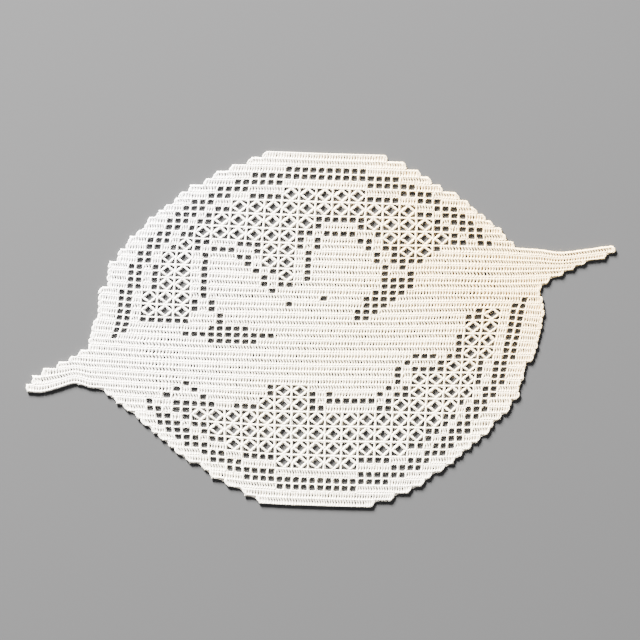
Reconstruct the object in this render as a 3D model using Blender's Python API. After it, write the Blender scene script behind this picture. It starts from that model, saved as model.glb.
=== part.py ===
"""Filet crochet doily: one flat oval piece of cotton lace with a pointed tail at each end.

It is worked in 52 rows that run from side to side. The chart is counted in cells, one cell being three
upright stitches wide and one row high: u is cells to the right of the middle column and v is rows below
the top edge. The cloth was not blocked square, so place() leans, narrows and bows the chart as it lies.
Lengths in the tables are in millimetres. The model is in metres, +X across, +Y up the cloth, +Z up.
"""

import math

import bmesh
import bpy
from mathutils import Vector
from mathutils.geometry import delaunay_2d_cdt

MM = 0.001
ROWS = 52
SIDE_CELLS = 28

# Thickness of the lace
CROWN = 1.5  # along the middle of a row of close stitches
GROOVE = 1.2  # where two rows of close stitches meet
NET = 1.35  # at the open net and along the edge

# Rows below the top edge, and how far down they lie: the close rows in the middle are shorter
ROW_LEVELS = ((0, 0.0), (13, 72.4), (37, 194.8), (52, 280.8))
TOP_LEVEL = 140.4

# Width of a cell at its widest row, what the first and last rows lose, and the draw-in of the side edges
CELL = 6.88
CELL_LOSS = 0.4
WIDEST_ROW = 20
EDGE_DRAW_IN = 0.03
EDGE_CELLS = 26
# The middle column leans to the left from row to row, until it stands upright
MIDDLE = -2.9
LEAN = 0.00376
UPRIGHT_ROW = 48

# How far a row hangs below a straight line: x, then the drop at each of these rows
BOW_ROWS = (4, 13, 18, 24, 31, 37, 47)
BOW = (
    (-237, 0.0, 0.0, 0.0, 0.0, -12.0, -4.8, -4.8),
    (-222, 0.0, 0.0, 0.0, 0.0, -11.0, -4.2, -4.8),
    (-208, 0.0, 0.0, 0.0, -6.6, -7.0, -8.0, -6.4),
    (-196, 0.0, 0.0, 0.0, -6.6, -6.4, -11.2, -6.4),
    (-184, -1.6, -5.6, -6.0, -6.6, -6.2, -8.0, -6.4),
    (-144, -2.4, -5.6, -4.6, -3.3, -4.0, -5.5, -6.4),
    (-96, -2.0, -4.3, -3.0, -1.4, -1.8, -2.8, -5.0),
    (-48, -1.9, -1.6, -1.1, -0.5, -0.4, -0.4, -0.9),
    (0, -0.2, 0.1, 0.2, 0.4, 0.5, 0.6, 1.2),
    (48, 1.2, 1.2, 1.1, 1.0, 0.8, 0.6, 2.3),
    (96, 3.2, 1.6, 1.0, 0.3, 0.8, 1.6, 2.2),
    (144, 6.4, 3.0, 1.7, 0.0, 1.2, 1.2, 1.2),
    (176, 6.4, 5.0, 1.0, 2.6, 2.4, 2.0, 0.0),
    (192, 6.4, 7.0, 0.0, 3.2, 2.4, 1.6, 0.0),
    (208, 6.4, 5.4, -1.0, 3.2, 2.4, 1.6, 0.0),
    (237, 6.4, 1.8, -1.0, 3.2, 2.4, 1.6, 0.0),
)

# The ring and the edge are pulled along the rows towards the tails: row, then how far to the right of
# their columns they lie on the left and on the right. The middle, inside an oval, isn't pulled.
PULL = (
    (6, 0.0, 0.0),
    (11, 3.0, 0.2),
    (14, 1.9, 2.4),
    (21, 1.2, 5.2),
    (24, 0.0, 2.4),
    (26, -0.9, 1.2),
    (29, -5.2, -1.2),
    (34, -4.8, -3.0),
    (40, -2.8, -2.6),
    (44, -1.0, -1.2),
    (48, 0.0, -1.6),
)
OVAL_WIDE, OVAL_HIGH, OVAL_ROW = 27.0, 27.5, 26.0  # half width in cells, half height and middle in rows
PULL_FROM, PULL_FULL = 0.62, 0.78  # shares of the oval's half width

# From the top edge inward, and the same from the bottom edge on the other side: row, half width,
# outer and inner end of the ring of open cells, outer end of the net, all in cells from the middle
BORDER = (
    (1, 7.8, 0, 0, 0),
    (2, 9.6, 0, 0, 0),
    (3, 11.8, 5, 0, 0),
    (4, 13.6, 9, 0, 0),
    (5, 14.7, 11, 5, 0),
    (6, 16.4, 13, 9, 5),
    (7, 17.4, 14, 11, 9),
    (8, 18.0, 16, 13, 11),
    (9, 19.0, 17, 14, 13),
    (10, 19.8, 18, 15, 14),
    (11, 20.9, 19, 16, 15),
    (12, 21.2, 19, 17, 16),
    (13, 22.1, 20, 18, 17),
    (14, 23.0, 21, 18, 17),
    (15, 23.3, 21, 19, 18),
    (16, 24.2, 22, 20, 19),
    (18, 25.4, 23, 21, 20),
    (22, 26.8, 24, 22, 21),
)
# What the four quarters of the edge have more than that table, at rows counted the same way
UNEVEN = {
    "upper_left": ((1, 0.0), (7, 0.0), (11, 0.4), (14, 0.3), (21, 0.2)),
    "upper_right": ((1, -0.4), (2, 0.1), (4, -0.8), (8, 0.2), (13, 0.6)),
    "lower_left": ((1, -0.4), (5, -0.6), (8, -0.1), (11, -0.1), (14, 1.1)),
    "lower_right": ((1, -0.5), (2, 0.3), (6, -0.5), (9, 0.0), (11, 0.4), (14, 0.7)),
}
# Where the rows of each side change from the upper quarter's table to the lower one's
TURN_LEFT, TURN_RIGHT = 34, 20
SIDE_LEFT = ((22, 26.6), (25, 26.5), (27, 26.8), (31, 27.0))
SIDE_RIGHT = (
    (20, 25.9),
    (21, 25.6),
    (22, 26.0),
    (23, 26.4),
    (24, 26.6),
    (29, 26.5),
    (31, 26.3),
    (32, 25.4),
    (35, 25.1),
)
# Close rows that lead into a tail: first and last, and how far each row of the tail reaches
BAND_LEFT, BAND_RIGHT = (30, 38), (14, 21)
TAIL_LEFT = {32: 28.2, 33: 29.4, 34: 30.9, 35: 32.8, 36: 34.0, 37: 35.0, 38: 25.3}
TAIL_RIGHT = {14: 35.1, 15: 34.0, 16: 31.4, 17: 30.0, 18: 28.6, 19: 26.9}
# Cells of the ring beside those bands that are close, not open
FILLED = {(-23, 29), (-21, 39), (-19, 39), (22, 22)}

# Flower and leaves of close stitches in the middle.
# Petals, and the base of the right leaf: middle across and down, half width, half height, lean in
# cells for each row down
PETALS = {
    "upper_left": (-8.8, 24.2, 5.9, 11.2, 0.26),
    "upper_right": (3.0, 20.8, 6.3, 10.9, 0.06),
    "right": (12.3, 23.8, 4.7, 8.2, 0.0),
    "leaf_base": (17.4, 17.0, 5.6, 4.45, 0.0),
    "lower_left": (-11.0, 31.5, 6.4, 7.2, 0.0),
    "lower_right": (5.3, 31.0, 6.4, 8.4, -0.17),
    "heart": (-2.4, 27.5, 7.0, 7.2, 0.0),
}
# Leaves: tip across and down, root across and down, half thickness in rows
LEAVES = {"left": (-31.0, 34.2, -9.0, 31.0, 6.6), "right": (31.0, 15.0, 8.0, 21.0, 5.2)}
LEAF_FULLNESS = 0.6
# Veins of open cells, shaped like the leaves
VEINS = ((-15.6, 27.5, -4.8, 27.6, 1.3), (11.4, 17.6, 3.8, 24.7, 2.2))
STAMENS = {(-4, 23), (0, 22)}
# Chevrons of open cells: top cell and its row, rows down, cells outward for each row
CHEVRONS = ((-14, 22, 5, 0.5), (-16, 36, 3, 1.0))

# Openings, as shares of a cell's width and of a row's height
GAP_WIDE, GAP_HIGH = 0.60, 0.66
LOZENGE_WIDE, LOZENGE_HIGH = 1.04, 0.78
MOST_GAPS = 300

RIB_STEP = 4  # cells between two points of a rib
RIB_INSET = 0.35
SHORTEST_RIB = 5
CORNER = 0.42  # rounding of a row's end
LEDGE_STEP = 1.4  # cells between two points of a long step


def between(table, at):
    """The value of a (place, value) table at a place, straight between its lines."""
    for (a, first), (b, second) in zip(table, table[1:]):
        if at <= b:
            return first + (second - first) * max(0.0, at - a) / (b - a)
    return table[-1][1]


def last_line(table, at):
    """The last line of a table that starts at or before a row."""
    return [line for line in table if line[0] <= at][-1]


def drop(x, v):
    """How far row v hangs below a straight line at x, smooth both ways."""
    v = min(max(v, BOW_ROWS[0]), BOW_ROWS[-1])
    j = max(i for i in range(len(BOW_ROWS) - 1) if BOW_ROWS[i] <= v)
    s = (v - BOW_ROWS[j]) / (BOW_ROWS[j + 1] - BOW_ROWS[j])
    s = s * s * (3 - 2 * s)
    x = min(max(x, BOW[0][0]), BOW[-1][0])
    k = max(i for i in range(len(BOW) - 1) if BOW[i][0] <= x)
    t = (x - BOW[k][0]) / (BOW[k + 1][0] - BOW[k][0])
    lines = [BOW[min(max(k + i, 0), len(BOW) - 1)] for i in (-1, 0, 1, 2)]
    a, b, c, d = ((1 - s) * line[j + 1] + s * line[j + 2] for line in lines)
    return b + t * (c - a + t * (2 * a - 5 * b + 4 * c - d + t * (3 * (b - c) + d - a))) / 2


def pull(u, v):
    """How far a place lies to the right of its column."""
    half = OVAL_WIDE * math.sqrt(max(0.01, 1 - ((v - OVAL_ROW) / OVAL_HIGH) ** 2))
    s = min(1.0, max(0.0, (abs(u) / half - PULL_FROM) / (PULL_FULL - PULL_FROM)))
    side = 1 if u < 0 else 2
    return s * s * (3 - 2 * s) * between([(line[0], line[side]) for line in PULL], v)


def place(u, v):
    """Where a place on the chart lies, in millimetres across and up."""
    t = (WIDEST_ROW - v) / WIDEST_ROW if v < WIDEST_ROW else (v - WIDEST_ROW) / (ROWS - 2 - WIDEST_ROW)
    draw_in = 1 - EDGE_DRAW_IN * min(1.0, abs(u) / EDGE_CELLS) ** 6
    x = MIDDLE + LEAN * max(0.0, UPRIGHT_ROW - v) ** 2 + (CELL - CELL_LOSS * t * t) * u * draw_in + pull(u, v)
    return x, TOP_LEVEL - between(ROW_LEVELS, v) - drop(x, v)


def border_row(row, side):
    """The row of BORDER that holds for a row on the left (-1) or right (1)."""
    turn = TURN_LEFT if side < 0 else TURN_RIGHT
    return last_line(BORDER, row if row < turn else ROWS + 1 - row)


def reach(row, side):
    """How far a row reaches from the middle column, in cells."""
    tail = TAIL_LEFT if side < 0 else TAIL_RIGHT
    straight = SIDE_LEFT if side < 0 else SIDE_RIGHT
    if row in tail:
        return tail[row]
    if straight[0][0] <= row <= straight[-1][0]:
        return last_line(straight, row)[1]
    upper = row < straight[0][0]
    quarter = ("upper_" if upper else "lower_") + ("left" if side < 0 else "right")
    count = row if upper else ROWS + 1 - row
    return last_line(BORDER, count)[1] + between(UNEVEN[quarter], count)


def in_petal(petal, u, v):
    across, down, wide, high, lean = petal
    return ((u - across - lean * (v - down)) / wide) ** 2 + ((v - down) / high) ** 2 <= 1


def in_leaf(leaf, u, v):
    tip_u, tip_v, root_u, root_v, half = leaf
    t = (u - tip_u) / (root_u - tip_u)
    if not 0 < t < 1:
        return False
    return abs(v - tip_v - (root_v - tip_v) * t) <= half * math.sin(math.pi * t) ** LEAF_FULLNESS


def cells_where(test, shape):
    rows = range(1, ROWS + 1)
    return {(k, r) for r in rows for k in range(-SIDE_CELLS, SIDE_CELLS) if test(shape, k + 0.5, r - 0.5)}


def inner_line(cells):
    """The cells that lie one in from the edge of a patch."""
    beside = ((1, 0), (-1, 0), (0, 1), (0, -1))
    edge = {(k, r) for k, r in cells if any((k + a, r + b) not in cells for a, b in beside)}
    return {(k, r) for k, r in cells - edge if any((k + a, r + b) in edge for a, b in beside)}


def chevron(k, row, rows, slope):
    """Two lines of cells that part downwards from one cell."""
    return {(k + side * math.ceil(i * slope), row + i) for i in range(rows) for side in (-1, 1)}


def motif():
    """The cells of the flower and leaves, and the open ones that draw its lines."""
    petals = {name: cells_where(in_petal, petal) for name, petal in PETALS.items()}
    leaves = {name: cells_where(in_leaf, leaf) for name, leaf in LEAVES.items()}
    close = set().union(*petals.values(), *leaves.values())
    lines = {(k, r) for k, r in inner_line(petals["upper_left"]) if r <= 21}
    lines |= {(k, r) for k, r in inner_line(petals["upper_right"]) if r <= 19 and k < 8}
    lower_side = petals["right"] | petals["lower_right"]
    lines |= {(k, r) for k, r in inner_line(lower_side) if r >= 31 and k > 0}
    lines = lines.union(*(chevron(*shape) for shape in CHEVRONS), STAMENS)
    return close, lines.union(*(cells_where(in_leaf, vein) for vein in VEINS))


def chart():
    """Each cell of the cloth: close, ring, line, net or lozenge (four cells of net make a lozenge)."""
    close, lines = motif()
    cells = {}
    for row in range(1, ROWS + 1):
        for k in range(-SIDE_CELLS, SIDE_CELLS):
            side = -1 if k < 0 else 1
            away = abs(k + 0.5)
            if away > reach(row, side):
                continue
            first, last = BAND_LEFT if side < 0 else BAND_RIGHT
            _, _, ring_outer, ring_inner, net_outer = border_row(row, side)
            kind = "close"
            in_ring = ring_inner <= away < ring_outer and not first <= row <= last
            if in_ring and (k, row) not in FILLED:
                kind = "ring"
            elif away < net_outer and (k, row) not in close:
                kind = "net"
            elif away < net_outer and (k, row) in lines:
                kind = "line"
            cells[k, row] = kind
    return cells


def lozenges(cells):
    """The two-by-two blocks of net, each named by its middle; their cells become lozenge cells."""
    found = []
    for row in range(6, ROWS - 5, 2):
        for middle in range(-SIDE_CELLS + 2, SIDE_CELLS, 2):
            block = [(middle + i, row + j) for i in (-1, 0) for j in (0, 1)]
            if all(cells.get(cell) == "net" for cell in block):
                cells.update(dict.fromkeys(block, "lozenge"))
                found.append((middle, row))
    return found


def slots(cells, kinds):
    """Runs of open cells along the rows, taken two at a time: first cell, row, number of cells."""
    found = []
    for row in range(1, ROWS + 1):
        k = -SIDE_CELLS
        while k < SIDE_CELLS:
            if cells.get((k, row)) not in kinds:
                k += 1
                continue
            wide = 2 if cells.get((k + 1, row)) == cells[k, row] else 1
            found.append((k, row, wide))
            k += wide
    return found


def gap_loops(cells):
    """The corners of each opening that is cut: the lozenges, then double cells, then single ones."""
    w, h = LOZENGE_WIDE / 2, LOZENGE_HIGH / 2
    loops = [[(u - w, v), (u, v + h), (u + w, v), (u, v - h)] for u, v in lozenges(cells)]
    w, h = GAP_WIDE / 2, GAP_HIGH / 2
    for k, row, wide in sorted(slots(cells, ("ring", "line")), key=lambda slot: -slot[2]):
        left, right, v = k + 0.5 - w, k + wide - 0.5 + w, row - 0.5
        loops.append([(left, v - h), (left, v + h), (right, v + h), (right, v - h)])
    return loops[:MOST_GAPS]


def ledge(start, end, v):
    """Places along the level edge that a row leaves free, from start towards end."""
    count = int(abs(end - start) / LEDGE_STEP)
    return [(start + (end - start) * i / (count + 1), v) for i in range(1, count + 1)]


def row_end(row, side):
    """The edge along the end of a row, from its top to its bottom, with rounded outer corners."""
    here = reach(row, side)
    above = reach(row - 1, side) if row > 1 else 0
    below = reach(row + 1, side) if row < ROWS else 0
    points = []
    if here - above > 2 * CORNER:
        points += ledge(above, here - CORNER, row - 1) if row > 1 else []
        points.append((here - CORNER, row - 1))
    points.append((here, row - 1 + CORNER))
    points.append((here, row - CORNER))
    if below - here > 2 * CORNER:
        points.append((here, row))
    elif here - below > 2 * CORNER:
        points.append((here - CORNER, row))
        points += ledge(here - CORNER, below, row) if row < ROWS else []
    return [(side * u, v) for u, v in points]


def outline():
    """The edge of the cloth on the chart, all the way round."""
    right = [point for row in range(1, ROWS + 1) for point in row_end(row, 1)]
    left = [point for row in range(1, ROWS + 1) for point in row_end(row, -1)]
    top = [(u, 0) for u in (-5, -2, 1, 4)]
    bottom = [(u, ROWS) for u in (4, 1, -2, -5)]
    return top + right + bottom + left[::-1]


def rib_runs(is_close, left, right):
    """Runs of close cells along a row, as (first, last) places, kept inside its two ends."""
    runs, start = [], None
    for k in range(-SIDE_CELLS, SIDE_CELLS + 1):
        if is_close(k) and start is None:
            start = k
        elif not is_close(k) and start is not None:
            if k - start >= SHORTEST_RIB:
                runs.append((max(start + RIB_INSET, RIB_INSET - left), min(k, right) - RIB_INSET))
            start = None
    return runs


def ribs(cells):
    """Lines along the close rows: the crown of each row, and the groove between two rows."""
    lines = []
    for row in range(1, ROWS + 1):
        ends = [reach(row, side) for side in (-1, 1)]
        crown = rib_runs(lambda k: cells.get((k, row)) == "close", *ends)
        both = rib_runs(lambda k: cells.get((k, row)) == cells.get((k, row + 1)) == "close", *ends)
        for runs, v, high in ((crown, row - 0.5, CROWN), (both, row, GROOVE)):
            for first, last in runs:
                steps = max(1, round((last - first) / RIB_STEP))
                points = [(first + (last - first) * i / steps, v) for i in range(steps + 1)]
                lines.append((points, high))
    return lines


def triangles(points, edges, holes):
    """Triangles that fill the cloth between its edge and its openings."""
    flat = [Vector(point) for point in points]
    _, _, faces, _, _, _ = delaunay_2d_cdt(flat, edges, [], 1, 1e-5)
    gaps = {index: number for number, hole in enumerate(holes) for index in hole}
    return [face for face in faces if len({gaps.get(index, -1 - index) for index in face}) > 1]


def chain(indices, closed):
    pairs = list(zip(indices, indices[1:]))
    return pairs + [(indices[-1], indices[0])] if closed else pairs


def cloth_mesh():
    """The closed body of the cloth: flat underneath, ribbed on top."""
    cells = chart()
    loops = [outline()] + gap_loops(cells)
    points, heights, rims = [], [], []
    for loop in loops:
        rims.append(list(range(len(points), len(points) + len(loop))))
        points += [place(u, v) for u, v in loop]
    heights = [NET] * len(points)
    rim_count = len(points)
    rim_edges = [pair for rim in rims for pair in chain(rim, True)]
    rib_edges = []
    for line, high in ribs(cells):
        indices = list(range(len(points), len(points) + len(line)))
        points += [place(u, v) for u, v in line]
        heights += [high] * len(line)
        rib_edges += chain(indices, False)
    top = triangles(points, rim_edges + rib_edges, rims[1:])
    bottom = triangles(points[:rim_count], rim_edges, rims[1:])
    middle_x = (min(x for x, _ in points) + max(x for x, _ in points)) / 2
    middle_y = (min(y for _, y in points) + max(y for _, y in points)) / 2
    mesh = bmesh.new()
    upper = [
        mesh.verts.new(((x - middle_x) * MM, (y - middle_y) * MM, high * MM))
        for (x, y), high in zip(points, heights)
    ]
    lower = [mesh.verts.new((vert.co.x, vert.co.y, 0.0)) for vert in upper[:rim_count]]
    for face in top:
        mesh.faces.new([upper[i] for i in face])
    for face in bottom:
        mesh.faces.new([lower[i] for i in reversed(face)])
    for a, b in rim_edges:
        mesh.faces.new([upper[a], upper[b], lower[b], lower[a]])
    bmesh.ops.recalc_face_normals(mesh, faces=mesh.faces)
    return mesh


def cotton():
    """White cotton thread, matt."""
    material = bpy.data.materials.new("cotton")
    material.use_nodes = True
    shader = material.node_tree.nodes["Principled BSDF"]
    shader.inputs["Base Color"].default_value = (0.86, 0.83, 0.77, 1.0)
    shader.inputs["Roughness"].default_value = 0.85
    shader.inputs["Metallic"].default_value = 0.0
    return material


def doily():
    """The doily, one piece of cloth lying flat with its underside at z = 0."""
    mesh = cloth_mesh()
    data = bpy.data.meshes.new("doily")
    mesh.to_mesh(data)
    mesh.free()
    cloth = bpy.data.objects.new("doily", data)
    cloth.data.materials.append(cotton())
    bpy.context.scene.collection.objects.link(cloth)
    return cloth


for existing in list(bpy.data.objects):
    bpy.data.objects.remove(existing, do_unlink=True)
doily()
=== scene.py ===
"""The look of a filet crochet doily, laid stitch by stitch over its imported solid.

The chart is counted in cells, three upright stitches wide and one row high: u is cells to the right of the
middle column and v is rows below the top edge. Every kind of stitch is modelled once, flat and at its real
size, and a copy goes to each place on the chart. place() then leans and bows the whole cloth as it lies.
Lengths of the cloth and its stitches are in millimetres, and those of the objects and the stage in metres.
"""

import math

import bpy
import numpy as np
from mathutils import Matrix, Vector
from mathutils.geometry import delaunay_2d_cdt


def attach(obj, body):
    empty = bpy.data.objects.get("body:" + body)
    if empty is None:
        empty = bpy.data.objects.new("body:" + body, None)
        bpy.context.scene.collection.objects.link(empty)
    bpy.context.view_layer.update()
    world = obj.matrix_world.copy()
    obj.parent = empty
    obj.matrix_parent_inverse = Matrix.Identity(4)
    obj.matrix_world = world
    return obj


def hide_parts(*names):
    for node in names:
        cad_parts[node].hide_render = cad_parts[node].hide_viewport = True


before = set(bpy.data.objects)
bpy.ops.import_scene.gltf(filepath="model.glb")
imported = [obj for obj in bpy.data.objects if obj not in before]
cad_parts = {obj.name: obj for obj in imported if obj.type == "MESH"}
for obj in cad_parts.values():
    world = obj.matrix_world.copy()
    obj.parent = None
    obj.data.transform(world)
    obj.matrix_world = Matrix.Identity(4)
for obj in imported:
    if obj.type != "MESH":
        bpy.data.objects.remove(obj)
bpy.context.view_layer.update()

MM = 0.001
SEED = 7

# ---------------------------------------------------------------- the counted chart
ROWS = 52
SIDE_CELLS = 28  # from the middle column to each side
TAIL_CELLS = 8  # and by how many the tails may pass them

# Rows below the top edge, and how far down they lie: the close rows in the middle are shorter
ROW_LEVELS = ((0, 0.0), (13, 72.4), (37, 194.8), (52, 280.8))
TOP_LEVEL = 140.4  # how high the top edge lies above the middle of the cloth

# Width of a cell at its widest row, what the first and last rows lose, and the draw-in of the side edges
CELL = 6.88
CELL_LOSS = 0.4
WIDEST_ROW = 20
EDGE_DRAW_IN = 0.03
EDGE_CELLS = 26
# The middle column leans to the left from row to row downwards, until it stands upright
MIDDLE = -2.9
LEAN = 0.00376
UPRIGHT_ROW = 48

# How far a row hangs below a straight line: x, then the drop at each of these rows
BOW_ROWS = (4, 13, 18, 24, 31, 37, 47)
BOW = (
    (-237, 0.0, 0.0, 0.0, 0.0, -12.0, -4.8, -4.8),
    (-222, 0.0, 0.0, 0.0, 0.0, -11.0, -4.2, -4.8),
    (-208, 0.0, 0.0, 0.0, -6.6, -7.0, -8.0, -6.4),
    (-196, 0.0, 0.0, 0.0, -6.6, -6.4, -11.2, -6.4),
    (-184, -1.6, -5.6, -6.0, -6.6, -6.2, -8.0, -6.4),
    (-144, -2.4, -5.6, -4.6, -3.3, -4.0, -5.5, -6.4),
    (-96, -2.0, -4.3, -3.0, -1.4, -1.8, -2.8, -5.0),
    (-48, -1.9, -1.6, -1.1, -0.5, -0.4, -0.4, -0.9),
    (0, -0.2, 0.1, 0.2, 0.4, 0.5, 0.6, 1.2),
    (48, 1.2, 1.2, 1.1, 1.0, 0.8, 0.6, 2.3),
    (96, 3.2, 1.6, 1.0, 0.3, 0.8, 1.6, 2.2),
    (144, 6.4, 3.0, 1.7, 0.0, 1.2, 1.2, 1.2),
    (176, 6.4, 5.0, 1.0, 2.6, 2.4, 2.0, 0.0),
    (192, 6.4, 7.0, 0.0, 3.2, 2.4, 1.6, 0.0),
    (208, 6.4, 5.4, -1.0, 3.2, 2.4, 1.6, 0.0),
    (237, 6.4, 1.8, -1.0, 3.2, 2.4, 1.6, 0.0),
)

# The ring and the edge are pulled along the rows towards the tails: row, then how far to the right of
# their columns they lie on the left and on the right. The middle, inside an oval, isn't pulled.
PULL = (
    (6, 0.0, 0.0),
    (11, 3.0, 0.2),
    (14, 1.9, 2.4),
    (21, 1.2, 5.2),
    (24, 0.0, 2.4),
    (26, -0.9, 1.2),
    (29, -5.2, -1.2),
    (34, -4.8, -3.0),
    (40, -2.8, -2.6),
    (44, -1.0, -1.2),
    (48, 0.0, -1.6),
)
OVAL_WIDE, OVAL_HIGH, OVAL_ROW = 27.0, 27.5, 26.0  # half width in cells, half height and middle in rows
PULL_FROM, PULL_FULL = 0.62, 0.78  # shares of the oval's half width

# Rows counted from the top edge, and in the lower quarters from the bottom edge: row, half width, outer
# and inner end of the ring of open cells, outer end of the net, all in cells from the middle
BORDER = (
    (1, 7.8, 0, 0, 0),
    (2, 9.6, 0, 0, 0),
    (3, 11.8, 5, 0, 0),
    (4, 13.6, 9, 0, 0),
    (5, 14.7, 11, 5, 0),
    (6, 16.4, 13, 9, 5),
    (7, 17.4, 14, 11, 9),
    (8, 18.0, 16, 13, 11),
    (9, 19.0, 17, 14, 13),
    (10, 19.8, 18, 15, 14),
    (11, 20.9, 19, 16, 15),
    (12, 21.2, 19, 17, 16),
    (13, 22.1, 20, 18, 17),
    (14, 23.0, 21, 18, 17),
    (15, 23.3, 21, 19, 18),
    (16, 24.2, 22, 20, 19),
    (18, 25.4, 23, 21, 20),
    (22, 26.8, 24, 22, 21),
)
# What the four quarters of the edge have more than that table, at rows counted the same way
UNEVEN = {
    "upper_left": ((1, 0.0), (7, 0.0), (11, 0.4), (14, 0.3), (21, 0.2)),
    "upper_right": ((1, -0.4), (2, 0.1), (4, -0.8), (8, 0.2), (13, 0.6)),
    "lower_left": ((1, -0.4), (5, -0.6), (8, -0.1), (11, -0.1), (14, 1.1)),
    "lower_right": ((1, -0.5), (2, 0.3), (6, -0.5), (9, 0.0), (11, 0.4), (14, 0.7)),
}
# The first row whose ring and net are counted from the bottom edge, on each side
TURN_LEFT, TURN_RIGHT = 34, 20
# Between the quarters of the edge: from which row down, and how far the rows reach
SIDE_LEFT = ((22, 26.6), (25, 26.5), (27, 26.8), (31, 27.0))
SIDE_RIGHT = (
    (20, 25.9),
    (21, 25.6),
    (22, 26.0),
    (23, 26.4),
    (24, 26.6),
    (29, 26.5),
    (31, 26.3),
    (32, 25.4),
    (35, 25.1),
)
# Close rows that lead into a tail, first and last, and how far each row of the tail reaches
BAND_LEFT, BAND_RIGHT = (30, 38), (14, 21)
TAIL_LEFT = {32: 28.2, 33: 29.4, 34: 30.9, 35: 32.8, 36: 34.0, 37: 35.0, 38: 25.3}
TAIL_RIGHT = {14: 35.1, 15: 34.0, 16: 31.4, 17: 30.0, 18: 28.6, 19: 26.9}
# Cells of the ring beside those bands that are close, not open
FILLED = {(-23, 29), (-21, 39), (-19, 39), (22, 22)}

# Petals, and the base of the right leaf: middle across and down, half width, half height, lean in
# cells for each row down
PETALS = {
    "upper_left": (-8.8, 24.2, 5.9, 11.2, 0.26),
    "upper_right": (3.0, 20.8, 6.3, 10.9, 0.06),
    "right": (12.3, 23.8, 4.7, 8.2, 0.0),
    "leaf_base": (17.4, 17.0, 5.6, 4.45, 0.0),
    "lower_left": (-11.0, 31.5, 6.4, 7.2, 0.0),
    "lower_right": (5.3, 31.0, 6.4, 8.4, -0.17),
    "heart": (-2.4, 27.5, 7.0, 7.2, 0.0),
}
# Leaves: tip across and down, root across and down, half thickness in rows
LEAVES = {"left": (-31.0, 34.2, -9.0, 31.0, 6.6), "right": (31.0, 15.0, 8.0, 21.0, 5.2)}
LEAF_FULLNESS = 0.6  # the lower it is, the blunter the leaves
# Open cells that run one cell inside the edge of some petals: first and last row, first and last cell
INNER_LINES = (
    (("upper_left",), 1, 21, -SIDE_CELLS, SIDE_CELLS),
    (("upper_right",), 1, 19, -SIDE_CELLS, 7),
    (("right", "lower_right"), 31, ROWS, 1, SIDE_CELLS),
)
# Veins of open cells, shaped like the leaves
VEINS = ((-15.6, 27.5, -4.8, 27.6, 1.3), (11.4, 17.6, 3.8, 24.7, 2.2))
STAMENS = {(-4, 23), (0, 22)}
# Chevrons of open cells: top cell and its row, rows down, cells outward for each row
CHEVRONS = ((-14, 22, 5, 0.5), (-16, 36, 3, 1.0))
LOZENGE_ROWS = range(6, ROWS - 5, 2)  # upper rows of the lozenges
LOZENGE_CELLS = range(-SIDE_CELLS + 2, SIDE_CELLS, 2)  # cells to the right of their middles

CORNER = 0.42  # rounding of a row's end
LEDGE_STEP = 1.4  # cells between two points of a long step
TOP_POINTS = (-5, -2, 1, 4)  # places of the points along the top and bottom edges

# ---------------------------------------------------------------- the stitches
ROW = 5.4  # height of a stitch before it is laid in its row
PER_CELL = 3  # upright stitches in a cell
PITCH = 1 / PER_CELL
MID_HEIGHT = 0.78  # of the threads above the table
FRONT_LEAN, BACK_LEAN = 0.9, -1.3  # of the uprights of odd and even rows, to the right at the top
LEVEL_SHIFT = 0.08  # rows by which the uprights of a pair of rows lie nearer to each other
EDGE_INWARD = 0.10  # rows by which a chain along the edge lies inside it
ROW_END = 0.30  # cells from a row's end to its last upright
CHAIN_END = 0.55  # cells from a row's end to the middle of its last link
LINKS_SPARED = 1.6  # by how many a chain has fewer links than uprights would fit along it
END_LEAN = 2.4  # of the stitches at a row's end, towards the shorter row beside it
WANDER = 0.035  # cells by which hand work strays along a row
WANDER_WAVES = ((1.0, 0.83, 2.4), (0.6, 2.1, 4.7))  # share, and turn in radians for each cell and row

THREAD_SIDES, THICK_SIDES = 5, 6  # of the section of a thread, and of a thick one
TIP_FULLNESS = 0.8  # of a thread at the ends of a stitch
# Upright stitches, of two threads each: length, half the distance between the threads, half width, half
# thickness, half turns over each other, rise, flare, waist and lean, all as in plied()
TREBLES = {
    "upright_front": (ROW + 0.5, 0.48, 0.56, 0.46, 1, 0.2, 0.0, 0.6, FRONT_LEAN),
    "upright_back": (ROW + 0.5, 0.47, 0.57, 0.44, -1, -0.18, 0.0, 0.6, BACK_LEAN),
    "pillar_front": (ROW + 0.3, 0.37, 0.72, 0.50, 1, 0.2, 0.6, 0.3, 0.6),
    "pillar_back": (ROW + 0.3, 0.37, 0.72, 0.50, -1, 0.2, 0.6, 0.3, -0.5),
    "slim_pillar": (ROW + 0.3, 0.34, 0.66, 0.48, 1, 0.2, 0.0, 0.0, 0.2),
}
END_TREBLE = (ROW + 0.3, 0.48, 0.56, 0.46, 1, 0.2, 0.0, 0.4)  # the last of a row, before its lean
# Which way the end of a row may lean: side of the cloth, then to the left (-1), upright or right (1)
ENDS = tuple((side, way) for side in (-1, 1) for way in (-1, 0, 1))

# The chain that turns a row: length, steps, how far inside the row's end its ends lie, how far it swells
# outwards from them, how round (the lower, the rounder), half width and at its ends, half thickness
TURN_LENGTH, TURN_STEPS = ROW + 0.2, 5
TURN_INSIDE, TURN_SWELL, TURN_ROUND = 2.2, 1.5, 0.6
TURN_WIDE, TURN_TIP, TURN_THICK = 0.75, 0.45, 0.5

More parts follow.
